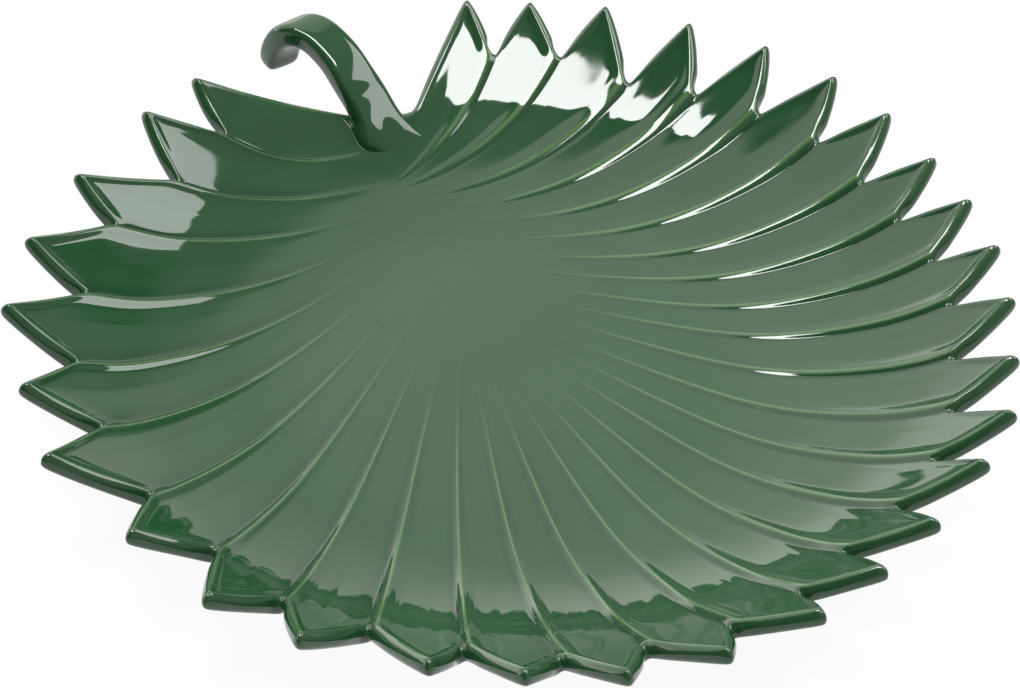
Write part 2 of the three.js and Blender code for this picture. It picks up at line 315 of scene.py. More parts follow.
# The leaflets, clockwise from the stem
LEAFLETS = (
    Leaflet(18.8, 161.1, 22.0, 146.4),
    Leaflet(27.1, 159.9, 31.5, 146.0),
    Leaflet(37.1, 160.3, 42.2, 140.4),
    Leaflet(48.5, 159.8, 52.7, 142.0),
    Leaflet(59.4, 160.0, 62.9, 143.2),
    Leaflet(69.9, 160.0, 73.4, 143.9),
    Leaflet(79.5, 159.3, 83.6, 142.2),
    Leaflet(89.3, 158.1, 93.0, 141.9),
    Leaflet(98.2, 158.2, 102.9, 143.6),
    Leaflet(107.3, 158.6, 112.0, 143.8),
    Leaflet(116.7, 158.3, 122.2, 142.3),
    Leaflet(126.9, 158.6, 132.7, 144.1),
    Leaflet(136.9, 161.6, 142.35, 145.3),
    Leaflet(145.0, 160.7, 151.9, 144.4),
    Leaflet(155.3, 159.8, 161.9, 143.2),
    Leaflet(164.5, 160.9, 171.5, 149.3),
    Leaflet(174.1, 165.2, 181.3, 152.2),
    Leaflet(184.9, 167.7, 191.0, 150.2),
    Leaflet(194.8, 168.3, 200.4, 150.9),
    Leaflet(204.4, 162.6, 211.2, 142.8),
    Leaflet(213.9, 159.6, 223.0, 138.8),
    Leaflet(227.0, 161.6, 234.5, 139.3),
    Leaflet(238.5, 159.3, 248.0, 133.0),
    Leaflet(252.7, 153.0, 261.2, 135.5),
    Leaflet(266.2, 160.5, 274.9, 139.2),
    Leaflet(278.8, 158.2, 286.7, 143.2),
    Leaflet(291.1, 162.2, 300.1, 143.8),
    Leaflet(303.4, 160.9, 314.0, 145.2),
    Leaflet(316.8, 159.2, 327.3, 140.8),
    Leaflet(331.2, 159.4, 338.6, 144.3),
    Leaflet(340.3, 161.0, 0.0, 0.0),
)


@dataclass
class Columns:
    """The lines of the leaf from the midrib to the edge, clockwise from the stem, one entry each."""

    edge: list[np.ndarray] = field(default_factory=list)
    outward: list[np.ndarray] = field(default_factory=list)
    share: list[float] = field(default_factory=list)
    edge_share: list[float] = field(default_factory=list)
    break_and_light: list[float] = field(default_factory=list)
    edge_break_and_light: list[float] = field(default_factory=list)
    spread: list[float] = field(default_factory=list)

    def add(
        self,
        edge: np.ndarray,
        outward: np.ndarray,
        share: float,
        edge_share: float,
        break_and_light: float,
        edge_break_and_light: float,
        spread: float,
    ) -> None:
        """Add one line.

        Args:
            edge: Plan point where the upper face ends.
            outward: Plan direction in which the edge is rounded.
            share: Share of the pleat's height along the line.
            edge_share: Share of the pleat's height at the edge.
            break_and_light: How far the glaze thins along the line, painted pale as highlight, below 0 where
                it pools, painted dark as shade.
            edge_break_and_light: How far the glaze thins on the edge, painted pale as highlight.
            spread: Share of the extra clockwise room that the drop takes near the midrib.
        """
        self.edge.append(edge)
        self.outward.append(unit(outward))
        self.share.append(share)
        self.edge_share.append(edge_share)
        self.break_and_light.append(break_and_light)
        self.edge_break_and_light.append(edge_break_and_light)
        self.spread.append(spread)


@dataclass
class LeafDish:
    """The moulded leaf: a dish with one-way pleats, pointed leaflets and a rounded edge."""

    dish: Dish

    # Wall and rounded edge
    wall: float = 4.2 * MM
    edge_round: float = 3.0 * MM
    edge_upright: float = 0.5
    thick_from: float = 120 * MM
    thick_full: float = 150 * MM
    roll_reach: float = 5.0 * MM
    roll_drop: float = 0.3 * MM

    # Pleats, as shares of their height and of a leaflet's width
    pleat_height: float = 1.85 * MM
    pleat_step: float = 3.0 * MM
    slope_rise: float = 0.3
    crest_rise: float = 0.57
    crest_span: tuple[float, float] = (0.8, 0.985)
    notch_round: float = 1.2 * MM
    inner_step: float = 0.9 * MM
    inner_step_from: float = 0.2
    bead_reach: float = 4.0 * MM
    lip: float = 0.25
    tip_share: float = 0.9
    tip_between: tuple[float, float] = (0.3, 0.7)
    flank_from: float = 0.45
    tip_turn: float = 0.9
    tip_turn_from: float = 0.8

    # Midrib that the pleats leave, and how they bow on their way out
    midrib_front: float = 35.5 * MM
    midrib_back: float = 105 * MM
    midrib_half_width: float = 2.0 * MM
    bow_all_round: float = 0.02
    bow_to_the_right: float = 0.045
    bow_to_the_corners: float = 0.025
    bow_beside_stem: float = 0.18
    midrib_stem_reach: float = 35 * MM
    midrib_end: float = 118 * MM

    # Corners of the gap in the rim where the stem stands
    sinus_left: tuple[float, float] = (0.5 * MM, 133.1 * MM)
    sinus_right: tuple[float, float] = (18.9 * MM, 129.2 * MM)

    # How the tips and the pleats grow towards the rim
    tip_growth: float = 2.0 * MM
    relief_growth: float = 2.4
    relief_near_stem: float = 0.55
    relief_focus: int = 6
    stem_focus: int = 24

    # Where the glaze thins and where it pools, with painted highlight over crests, the tops of drops and edge
    # tops, and painted shade in valleys and at the foot of drops
    crest_thin_and_highlight: float = 0.8
    crest_thin_and_highlight_from: float = 0.945
    valley_pool_and_shade: float = 0.6
    valley_pool_and_shade_to: float = 0.12
    drop_thin_and_highlight: float = 1.5
    drop_pool_and_shade: float = 0.8
    break_and_light_span: tuple[float, float] = (0.08, 0.5)
    rising_edge_thin_and_highlight: float = 0.35
    falling_edge_thin_and_highlight: float = 0.6
    sinus_edge_thin_and_highlight: float = 0.2

    # Lines across a leaflet, and rows from the midrib round the edge to the underside
    left_stops: Sequence[float] = (0.0, 0.1, 0.36, 0.7, 0.93)
    right_stops: Sequence[float] = (0.07, 0.3, 0.5, 0.63, 0.73, 0.82, 0.9, 0.96, 1.0)
    drop_stops: Sequence[float] = (0.2, 0.4, 0.6, 0.8)
    sinus_stops: Sequence[float] = (0.25, 0.5, 0.75)
    edge_distances: Sequence[float] = (9.0, 6.0, 4.0, 2.8, 1.8, 0.9, 0.0)
    # Turns of the rounded edge: degrees, share of thinning glaze with painted highlight, and reach; only the
    # top of the edge is painted pale
    edge_turns: Sequence[tuple[float, float, float]] = (
        (30.0, 0.4, 1.03), (65.0, 0.0, 1.04), (105.0, 0.0, 1.04), (140.0, 0.0, 1.04), (180.0, 0.0, 1.0),
    )
    pleat_rows: int = 18
    underside_rows: int = 7
    underside_inset: float = 5.0 * MM
    underside_follow: tuple[float, float] = (85 * MM, 140 * MM)

    def profile(self, across: float) -> float:
        """Return the share of the pleat's height at a share of the leaflet's width, from valley to crest."""
        return self.slope_rise * across + self.crest_rise * float(ease(across, *self.crest_span))

    def wall_at(self, plan: np.ndarray) -> np.ndarray:
        """Return the wall's thickness at plan points, which grows towards the rounded edge."""
        radius = np.linalg.norm(plan, axis=-1)
        return self.wall + (2 * self.edge_round - self.wall) * ease(radius, self.thick_from, self.thick_full)

    def crest_break_and_light(self, across: float) -> float:
        """Return how far the glaze thins and is painted pale as highlight at a share of the leaflet's width,
        below 0 in the valley, where it pools and is painted dark as shade.
        """
        thin_and_highlight = self.crest_thin_and_highlight * ease(across, self.crest_thin_and_highlight_from, 1.0)
        return float(thin_and_highlight - self.valley_pool_and_shade * (1.0 - ease(across, 0.0, self.valley_pool_and_shade_to)))

    def leaflet(
        self, columns: Columns, left: np.ndarray, right: np.ndarray, tip: np.ndarray, pleat: float
    ) -> None:
        """Add the lines of one leaflet, from the valley on its left to the crest on its right.

        Args:
            columns: Where the lines go.
            left: Plan point of the valley at the notch before.
            right: Plan point of the crest at the notch after.
            tip: Plan point of the tip.
            pleat: Share of the full pleat that this leaflet has.
        """
        bearings = [math.atan2(point[0], point[1]) for point in (left, tip, right)]
        turns = [(later - bearings[0]) % (2 * math.pi) for later in bearings[1:]]
        tip_at = float(np.clip(turns[0] / turns[1], *self.tip_between))
        crest = self.profile(1.0)
        for start, stop, stops, first, last in (
            (left, tip, self.left_stops, 0.0, tip_at),
            (tip, right, self.right_stops, tip_at, 1.0),
        ):
            rising = stop is tip
            run = stop - start
            square = np.array([-run[1], run[0]])
            for along in ((*stops, 1.0) if rising else stops):
                across = first + (last - first) * along
                from_notch = along if rising else 1.0 - along
                at_tip = self.tip_turn * ease(from_notch, self.tip_turn_from, 1.0)
                flank = float(ease(from_notch, 0.0, self.flank_from) * (1.0 - at_tip))
                outward = flank * unit(square) + (1.0 - flank) * unit(start + run * along)
                lift = self.tip_share + (crest - self.tip_share) * along
                if rising:
                    lift = self.tip_share * along + self.lip * float(ease(along, 0.0, 0.25)) * (1.0 - along)
                columns.add(
                    start + run * along,
                    outward,
                    pleat * self.profile(across),
                    pleat * lift,
                    pleat * self.crest_break_and_light(across),
                    self.rising_edge_thin_and_highlight if rising else self.falling_edge_thin_and_highlight,
                    (1.0 - across) ** 2,
                )

    def columns(self) -> Columns:
        """Set out all the lines of the leaf.

        Returns:
            The lines, clockwise from the stem and back to it.
        """
        columns = Columns()
        sinus_right, sinus_left = (
            np.array(corner) - [0.0, self.edge_round] for corner in (self.sinus_right, self.sinus_left)
        )
        left = sinus_right
        for at, form in enumerate(LEAFLETS):
            tip = plan_point(form.tip_bearing, form.tip_out * MM - self.edge_round + self.tip_growth)
            if at == len(LEAFLETS) - 1:
                self.leaflet(columns, left, sinus_left, tip, 0.0)
                break
            notch_out = form.notch_out * MM - self.edge_round
            step = math.degrees(self.pleat_step / notch_out)
            right = plan_point(form.notch_bearing - step / 2, notch_out + self.notch_round)
            self.leaflet(columns, left, right, tip, 1.0)
            left = plan_point(form.notch_bearing + step / 2, notch_out + self.notch_round)
            for along in self.drop_stops:
                edge = right + (left - right) * along
                edge = edge - self.notch_round * 4 * along * (1 - along) * unit(edge)
                left_over = 1.0 - float(ease(along, 0.0, 1.0))
                share = self.profile(1.0) * left_over
                # Down each drop: thinning glaze with painted highlight at the crest, pooling glaze with
                # painted shade at the foot
                break_and_light = self.drop_thin_and_highlight * left_over - self.drop_pool_and_shade
                columns.add(edge, edge, share, share, break_and_light, 0.0, along)
        for along in self.sinus_stops:
            edge = sinus_left + (sinus_right - sinus_left) * along
            columns.add(edge, edge, 0.0, 0.0, 0.0, self.sinus_edge_thin_and_highlight, 0.0)
        return columns

    def towards_stem(self, edge: np.ndarray) -> np.ndarray:
        """Return how far round to the stem these edge points lie, from 0 at the front to 1 at the back."""
        return (1 + edge[:, 1] / np.linalg.norm(edge, axis=1)) / 2

    def beside_stem(self, edge: np.ndarray) -> np.ndarray:
        """Return how far these edge points belong to the leaflets at the stem's left."""
        near = self.towards_stem(edge) ** self.stem_focus
        return near * ease(edge[:, 0], self.sinus_right[0], self.sinus_left[0])

    def hub(self, edge: np.ndarray) -> np.ndarray:
        """Find where the lines to these edge points leave the midrib.

        Args:
            edge: Plan points on the edge, one row each.

        Returns:
            The plan points, one row each.
        """
        along = self.midrib_front + (self.midrib_back - self.midrib_front) * self.towards_stem(edge)
        along = np.minimum(along + self.midrib_stem_reach * self.beside_stem(edge), self.midrib_end)
        start = np.stack([np.zeros_like(along), along], axis=1)
        return start + self.midrib_half_width * unit(edge - start)

    def bow(self, hub: np.ndarray, edge: np.ndarray) -> np.ndarray:
        """Find how far each line bows clockwise at the middle of its length.

        Args:
            hub: Plan points where the lines leave the midrib.
            edge: Plan points on the edge, one row each.

        Returns:
            The bows, as plan vectors.
        """
        bearing = np.arctan2(edge[:, 0], edge[:, 1])
        share = self.bow_all_round + self.bow_to_the_right * np.sin(bearing)
        share = share + self.bow_to_the_corners * np.sin(2 * bearing)
        share = share - self.bow_beside_stem * self.beside_stem(edge)
        run = edge - hub
        return share[:, None] * np.stack([run[:, 1], -run[:, 0]], axis=1)

    def build(self) -> bpy.types.Object:
        """Model the leaf.

        Returns:
            The finished piece, without its material.
        """
        columns = self.columns()
        edge = np.array(columns.edge)
        outward = np.array(columns.outward)
        share = np.array(columns.share)
        edge_share = np.array(columns.edge_share)
        break_and_light = np.array(columns.break_and_light)
        edge_break_and_light = np.array(columns.edge_break_and_light)
        spread = np.array(columns.spread)
        hub = self.hub(edge)
        bow = self.bow(hub, edge)
        length = np.linalg.norm(edge - hub, axis=1)
        run = unit(edge - hub)
        clockwise = np.stack([run[:, 1], -run[:, 0]], axis=1)
        near_stem = self.towards_stem(edge) ** self.relief_focus
        growth = self.relief_growth * (1 - self.relief_near_stem * near_stem)

        def plan_at(out: np.ndarray) -> np.ndarray:
            """Return each line's plan point at a share of its length.

            Args:
                out: The shares of the lines' lengths.

            Returns:
                The plan points, one row each.
            """
            room = self.inner_step * spread * (1 - out) * ease(out, 0.0, self.inner_step_from)
            bent = bow * (4 * out * (1 - out))[:, None]
            return hub + (edge - hub) * out[:, None] + bent + clockwise * room[:, None]

        def lift_at(out: np.ndarray) -> np.ndarray:
            """Return each line's height over the smooth dish at a share of its length.

            Args:
                out: The shares of the lines' lengths.

            Returns:
                The heights.
            """
            relief = np.maximum(out, 0.0) ** growth
            from_edge = length * (1 - out)
            near = ease(from_edge, self.bead_reach, 0.0)
            rolled = np.maximum(0.0, 1 - from_edge / self.roll_reach) ** 2
            height = share + (edge_share - share) * near
            return self.pleat_height * relief * height - self.roll_drop * rolled

        inner_end = 1 - self.edge_distances[0] * MM / length
        outs = [inner_end * row / self.pleat_rows for row in range(self.pleat_rows)]
        outs += [1 - distance * MM / length for distance in self.edge_distances]
        loops = []
        breaks_and_light = []
        for out in outs:
            plan = plan_at(out)
            loops.append(self.dish.place(plan, self.dish.height(plan) + lift_at(out)))
            # Thinning and pooling glaze with painted highlight and painted shade, faded in from the midrib
            breaks_and_light.append(break_and_light * ease(out, *self.break_and_light_span))

        upright = np.array([0.0, 0.0, 1.0])
        flat = np.concatenate([outward, np.zeros((len(outward), 1))], axis=1)
        up = (1 - self.edge_upright) * self.dish.normal(edge) + self.edge_upright * upright
        up = unit(up + 2 * self.roll_drop / self.roll_reach * flat)
        out_of_edge = unit(flat - up * np.sum(flat * up, axis=1, keepdims=True))
        centre = loops[-1] - self.edge_round * up
        # The top of the rounded edge is painted pale as highlight with thinning glaze; its side keeps the
        # body colour
        breaks_and_light[-1] = np.maximum(breaks_and_light[-1], edge_break_and_light)
        for turn, thin_and_highlight, size in self.edge_turns:
            angle = math.radians(turn)
            reach = self.edge_round * size
            loops.append(centre + reach * (math.cos(angle) * up + math.sin(angle) * out_of_edge))
            breaks_and_light.append(edge_break_and_light * thin_and_highlight)

        for row in range(self.underside_rows + 1):
            out = (1 - self.underside_inset / length) * (1 - row / self.underside_rows)
            plan = plan_at(out)
            radius = np.linalg.norm(plan, axis=1)
            follow = ease(radius, *self.underside_follow)
            top = self.dish.place(plan, self.dish.height(plan) + lift_at(out) * follow)
            loops.append(top - self.wall_at(plan)[:, None] * self.dish.normal(plan))
            breaks_and_light.append(np.zeros(len(edge)))

        piece = Clay.wrapped_sheet("leaf_dish_glazed", np.array(loops), np.array(breaks_and_light))
        Clay.soften(piece, 1)
        Clay.close_ends(piece, (loops[0], loops[-1]))
        return piece

    def dress(self, piece: bpy.types.Object, material: bpy.types.Material) -> None:
        """Glaze the leaf and put it in its node's place."""
        Clay.finish(piece, "leaf_dish", Slot.LEAF, material)


@dataclass
class StemHandle:
    """The strap that sweeps up out of the leaf, arches over and turns to the left, with a rounded end."""

    dish: Dish
    rim: float
    width: tuple[float, float] = (16.7 * MM, 13.4 * MM)
    thick: tuple[float, float] = (9.8 * MM, 9.4 * MM)
    turn: tuple[float, float] = (10.3, 9.1)
    roll: tuple[float, float] = (3.0, -2.0)
    end_round: float = 5 * MM
    end_least: tuple[float, float] = (0.2, 0.03)
    squareness: float = 0.52
    path: Sequence[tuple[float, float, float]] = (
        (4.2, 130.0, -18.4), (3.0, 135.0, -14.2), (0.8, 139.6, -8.9), (-1.8, 147.3, -2.8),
        (-6.6, 156.6, 1.9), (-12.5, 162.1, 1.2), (-15.9, 167.0, -6.8), (-17.0, 169.3, -17.0),
    )
    root_corners: Sequence[tuple[float, float]] = ((-5.5, 117.5), (20.5, 112.0), (16.5, 127.5), (-5.5, 133.5))
    root_sink: tuple[float, float] = (0.7 * MM, 3.0 * MM)
    root_bite: float = 0.1 * MM
    root_flow: tuple[float, float] = (-0.8, 0.2)
    root_rings: int = 7
    rings: int = 26
    sides: int = 24

    def outline(self) -> np.ndarray:
        """Draw the strap's section.

        Returns:
            Its points, as shares of the half width and half thickness.
        """
        turn = np.linspace(0.0, 2 * math.pi, self.sides, endpoint=False)
        shape = np.stack([np.cos(turn), np.sin(turn)], axis=1)
        return np.sign(shape) * np.abs(shape) ** self.squareness

    def root_plan(self, outline: np.ndarray) -> np.ndarray:
        """Draw the root's plan on the leaf.

        Args:
            outline: The strap's section.

        Returns:
            The plan, point for point with the section.
        """
        front_left, front_right, back_right, back_left = np.array(self.root_corners) * MM
        across = (1 + outline[:, :1]) / 2
        front = front_left + (front_right - front_left) * across
        back = back_left + (back_right - back_left) * across
        return front + (back - front) * (1 - outline[:, 1:]) / 2

    def strap(self, outline: np.ndarray) -> tuple[list[np.ndarray], np.ndarray]:
        """Lay the strap's rings along its path.

        Args:
            outline: The strap's section.

        Returns:
            The rings above the root, and the direction in which the strap leaves it.
        """
        path = np.array(self.path) * MM
        path = self.dish.place(path[:, :2], self.rim + path[:, 2])
        places = smooth_path(path, self.rings)
        tangents = unit(np.gradient(places, axis=0))
        total = np.sum(np.linalg.norm(np.diff(places, axis=0), axis=1))
        rings = []
        spans = (self.turn, self.roll, self.width, self.thick)
        for place, tangent, along in zip(places, tangents, np.linspace(0.0, 1.0, self.rings)):
            turn, roll, width, thick = (first + (last - first) * along for first, last in spans)
            level = np.array([math.cos(math.radians(turn)), math.sin(math.radians(turn)), 0.0])
            level = unit(level - tangent * (level @ tangent))
            front = np.cross(level, tangent)
            lean = math.radians(roll)
            sideways = math.cos(lean) * level - math.sin(lean) * front
            facing = math.cos(lean) * front + math.sin(lean) * level
            closing = max(0.0, 1 - total * (1 - along) / self.end_round)
            half_width = width / 2 * math.sqrt(max(self.end_least[0], 1 - closing**3))
            half_thick = thick / 2 * math.sqrt(max(self.end_least[1], 1 - closing**2))
            across = outline[:, :1] * half_width * sideways
            rings.append(place + across + outline[:, 1:] * half_thick * facing)
        return rings, tangents[0]

    def root(self, outline: np.ndarray, strap_foot: np.ndarray, heading: np.ndarray) -> list[np.ndarray]:
        """Return the rings that sweep up out of the leaf into the strap.

        Args:
            outline: The strap's section.
            strap_foot: The strap's first ring.
            heading: The direction in which the strap goes on.

        Returns:
            The rings, from inside the leaf up to the strap.
        """
        plan = self.root_plan(outline)
        sink = self.root_sink[0] + (self.root_sink[1] - self.root_sink[0]) * (1 - outline[:, 1]) / 2
        start = self.dish.place(plan, self.dish.height(plan) - self.root_bite)
        sunk = start - sink[:, None] * np.array([0.0, 0.0, 1.0])
        inward = unit((strap_foot - start)[:, :2])
        climb = (self.dish.height(plan + inward * MM) - self.dish.height(plan)) / MM
        along_leaf = unit(np.concatenate([inward, climb[:, None]], axis=1))
        flow = ease(outline[:, :1], *self.root_flow)
        start_heading = flow * along_leaf + (1 - flow) * np.array([0.0, 0.0, 1.0])
        reach = np.linalg.norm(strap_foot - start, axis=1, keepdims=True)
        rings = [sunk]
        for along in np.linspace(0.0, 1.0, self.root_rings, endpoint=False):
            place = start + (strap_foot - start) * along * along * (3 - 2 * along)
            place = place + start_heading * reach * along * (1 - along) ** 2
            rings.append(place - heading * reach * along**2 * (1 - along))
        return rings

    def build(self) -> bpy.types.Object:
        """Model the stem.

        Returns:
            The finished piece, without its material.
        """
        outline = self.outline()
        strap, heading = self.strap(outline)
        loops = np.array([*self.root(outline, strap[0], heading), *strap])
        piece = Clay.wrapped_sheet("stem_handle_glazed", loops, np.zeros(loops.shape[:2]))
        Clay.close_ends(piece, (loops[0], loops[-1]))
        Clay.soften(piece, 2)
        return piece

    def dress(self, piece: bpy.types.Object, material: bpy.types.Material) -> None:
        """Glaze the stem and put it in its node's place."""
        Clay.finish(piece, "stem_handle", Slot.STEM, material)


@dataclass
class FootRing:
    """The ring under the leaf that the platter stands on."""

    dish: Dish
    radius: float = 58 * MM
    tread: float = 6 * MM
    flare: float = 2 * MM
    height: float = 4 * MM
    soft: float = 0.8 * MM
    sunk: float = 0.5 * MM
    waist: float = 0.6
    waist_flare: float = 0.4
    sides: int = 96

    def build(self) -> bpy.types.Object:
        """Model the foot ring.

        Returns:
            The finished piece, without its material.
        """
        half = self.tread / 2
        waist_out = half + self.flare * self.waist_flare
        waist_up = self.height * self.waist
        top_out = half + self.flare
        top_up = self.height + self.sunk
        profile = (
            (half - self.soft, 0.0), (half, self.soft), (waist_out, waist_up),
            (top_out, top_up), (-top_out, top_up),
            (-waist_out, waist_up), (-half, self.soft), (-half + self.soft, 0.0), (0.0, 0.0),
        )
        turn = np.linspace(0.0, 2 * math.pi, self.sides, endpoint=False)
        circle = np.stack([np.sin(turn), np.cos(turn)], axis=1)
        loops = [
            self.dish.place(circle * (self.radius + out), np.full(self.sides, height))
            for out, height in (*profile, profile[0])
        ]
        piece = Clay.wrapped_sheet("foot_ring_bare", np.array(loops))
        Clay.soften(piece, 1)
        return piece

    def dress(self, piece: bpy.types.Object, material: bpy.types.Material) -> None:
        """Leave the foot ring bare and put it in its node's place."""
        Clay.finish(piece, "foot_ring", Slot.FOOT, material)


class Value:
    """A number on its way through a shader: an expression on values adds its Math nodes."""

    def __init__(self, shader: "Shader", socket: bpy.types.NodeSocket) -> None:
        """Keep the shader and the socket that gives the number."""
        self.shader = shader
        self.socket = socket

    def _math(self, operation: str, first: Any, second: Any) -> "Value":
        """Add one Math node and return its result."""
        return self.shader.node("ShaderNodeMath", {"operation": operation}, {0: first, 1: second})

    def __add__(self, other: Any) -> "Value":
        """Return the sum."""
        return self._math("ADD", self, other)

    def __sub__(self, other: Any) -> "Value":
        """Return the difference."""
        return self._math("SUBTRACT", self, other)

    def __rsub__(self, other: Any) -> "Value":
        """Return the difference, taken from a number."""
        return self._math("SUBTRACT", other, self)

    def __mul__(self, other: Any) -> "Value":
        """Return the product."""
        return self._math("MULTIPLY", self, other)

    def at_least(self, other: Any) -> "Value":
        """Return the larger of the two numbers."""
        return self._math("MAXIMUM", self, other)

    def eased(self, low: float, high: float) -> "Value":
        """Return a smooth rise from 0 to 1 between two numbers."""
        return self.shader.node(
            "ShaderNodeMapRange",
            {"interpolation_type": "SMOOTHSTEP"},
            {"Value": self, "From Min": low, "From Max": high},
        )

    __radd__ = __add__
    __rmul__ = __mul__


class Shader:
    """The node tree of one material or world."""

    def __init__(self, tree: bpy.types.NodeTree) -> None:
        """Start from an empty tree."""
        self.tree = tree
        tree.nodes.clear()

    def node(
        self, kind: str, settings: dict[str, Any], inputs: dict[str | int, Any], output: str | int = 0
    ) -> Value:
        """Add a node.

        Args:
            kind: The node's type.
            settings: Its settings, which are set first.
            inputs: Values or links of its sockets, by name or number.
            output: The socket to return, by name or number.

        Returns:
            The chosen output.
        """
        made = self.tree.nodes.new(kind)
        for name, setting in settings.items():
            setattr(made, name, setting)
        for name, given in inputs.items():
            socket = made.inputs[name]
            if isinstance(given, Value):
                self.tree.links.new(given.socket, socket)
            else:
                socket.default_value = given
        return Value(self, made.outputs[output]) if len(made.outputs) else Value(self, None)

    def mix(self, share: Any, first: Any, second: Any) -> Value:
        """Mix two colours by a share, through the colour sockets of a Mix node."""
        return self.node("ShaderNodeMix", {"data_type": "RGBA"}, {0: share, 6: first, 7: second}, 2)

    def place(self) -> Value:
        """Return the object's own coordinates."""
        return self.node("ShaderNodeTexCoord", {}, {}, "Object")

    def noise(self, place: Value, scale: float, detail: float) -> Value:
        """Return soft noise of a scale and detail over these coordinates."""
        return self.node("ShaderNodeTexNoise", {}, {"Vector": place, "Scale": scale, "Detail": detail})


Colour = tuple[float, float, float, float]


@dataclass(frozen=True)
class Glaze:
    """Glossy green glaze, paler where it thins over crests and edge tops and darker where it pools in the
    valleys; these pale and dark marks are also painted highlight and painted shade.
    """

    name: str
    body: Colour = (0.012, 0.055, 0.019, 1.0)
    cloud: Colour = (0.014, 0.061, 0.022, 1.0)
    # Darker colour where the glaze pools, which is also painted shade
    pooled_and_shade: Colour = (0.006, 0.036, 0.013, 1.0)
    # Paler colour where the glaze thins, which is also painted highlight
    thin_and_highlight: Colour = (0.085, 0.165, 0.065, 1.0)
    roughness: float = 0.045
    ior: float = 1.58
    cloud_scale: float = 28.0
    grain_scale: float = 900.0
    grain_share: float = 0.2
    thin_and_highlight_span: tuple[float, float] = (0.15, 1.0)
    swell_scale: float = 55.0
    swell_height: float = 0.00006

    def material(self) -> bpy.types.Material:
        """Return the glaze as a material.

        Returns:
            The material.
        """
        made = bpy.data.materials.new(self.name)
        made.use_nodes = True
        shader = Shader(made.node_tree)
        place = shader.place()
        break_and_light = shader.node("ShaderNodeAttribute", {"attribute_name": GLAZE_BREAK_AND_LIGHT}, {}, "Fac")
        clouds = shader.noise(place, self.cloud_scale, 3.0)
        grain = shader.noise(place, self.grain_scale, 2.0)
        colour = shader.mix(clouds.eased(0.35, 0.65), self.body, self.cloud)
        # Darker where the glaze pools: painted shade in valleys and at the foot of drops
        colour = shader.mix((0.0 - break_and_light).eased(0.0, 1.0), colour, self.pooled_and_shade)
        # Paler where the glaze thins, speckled by grain: painted highlight over crests, the tops of drops and
        # edge tops
        thinned_and_highlit = (break_and_light + (grain - 0.5) * self.grain_share).eased(*self.thin_and_highlight_span)
        colour = shader.mix(thinned_and_highlit, colour, self.thin_and_highlight)
        swell = shader.noise(place, self.swell_scale, 1.0)
        bump = shader.node(
            "ShaderNodeBump", {}, {"Strength": 1.0, "Distance": self.swell_height, "Height": swell}
        )
        surface = shader.node(
            "ShaderNodeBsdfPrincipled",
            {},
            {"Base Color": colour, "Roughness": self.roughness, "IOR": self.ior, "Normal": bump},
        )
        shader.node("ShaderNodeOutputMaterial", {}, {"Surface": surface})
        return made


@dataclass(frozen=True)
class BareClay:
    """Unglazed fired earthenware."""

    name: str
    body: Colour = (0.66, 0.57, 0.43, 1.0)
    fleck: Colour = (0.48, 0.38, 0.26, 1.0)
    roughness: float = 0.85
    grain_scale: float = 700.0
    grain_height: float = 0.0001

    def material(self) -> bpy.types.Material:
        """Return the clay as a material.

        Returns:
            The material.
        """
        made = bpy.data.materials.new(self.name)
        made.use_nodes = True
        shader = Shader(made.node_tree)
        place = shader.place()
        grain = shader.noise(place, self.grain_scale, 4.0)
        colour = shader.mix(grain.eased(0.5, 0.75), self.body, self.fleck)
        bump = shader.node(
            "ShaderNodeBump", {}, {"Strength": 0.5, "Distance": self.grain_height, "Height": grain}
        )
        surface = shader.node(
            "ShaderNodeBsdfPrincipled",
            {},
            {"Base Color": colour, "Roughness": self.roughness, "Normal": bump},
        )
        shader.node("ShaderNodeOutputMaterial", {}, {"Surface": surface})
        return made


@dataclass
class Viewpoint:
    """The photograph's camera, and the directions that the studio is set out in."""

    middle: np.ndarray
    rim_height: float
    turn: float = 25.15
    elevation: float = 41.95
    distance: float = 800 * MM
    aim_right: float = -1.95 * MM
    aim_back: float = -26.5 * MM
    focal_pixels: float = 2551.0
    sensor: float = 36.0

    def from_picture(self, right: float, back: float, up: float) -> Vector:
        """Return a direction in the frame from one seen in the picture."""
        return Matrix.Rotation(-math.radians(self.turn), 3, "Z") @ Vector((right, back, up))

    def direction(self, azimuth: float, elevation: float) -> Vector:
        """Find a direction from its angles.

        Args:
            azimuth: Degrees to the right of straight back.
            elevation: Degrees above the level.

        Returns:
            The direction, in the frame.
        """
        turn = math.radians(azimuth)
        climb = math.radians(elevation)
        level = math.cos(climb)
        return self.from_picture(math.sin(turn) * level, math.cos(turn) * level, math.sin(climb))

    def centre(self) -> Vector:
        """Return the middle of the rim."""
        return Vector((self.middle[0], self.middle[1], self.rim_height))

    def set_camera(self) -> None:
        """Create the camera and make it the scene's own."""
        data = bpy.data.cameras.new("photo_camera")
        data.sensor_width = self.sensor
        data.lens = self.focal_pixels * self.sensor / PICTURE_WIDTH
        data.clip_start = 0.01
        data.clip_end = 50.0
        camera = bpy.data.objects.new("photo_camera", data)
        bpy.context.collection.objects.link(camera)
        aim = self.centre() + self.from_picture(self.aim_right, self.aim_back, 0.0)
        back = self.direction(180.0, self.elevation)
        camera.location = aim + back * self.distance
        camera.rotation_mode = "QUATERNION"
        camera.rotation_quaternion = (-back).to_track_quat("-Z", "Y")
        bpy.context.scene.camera = camera


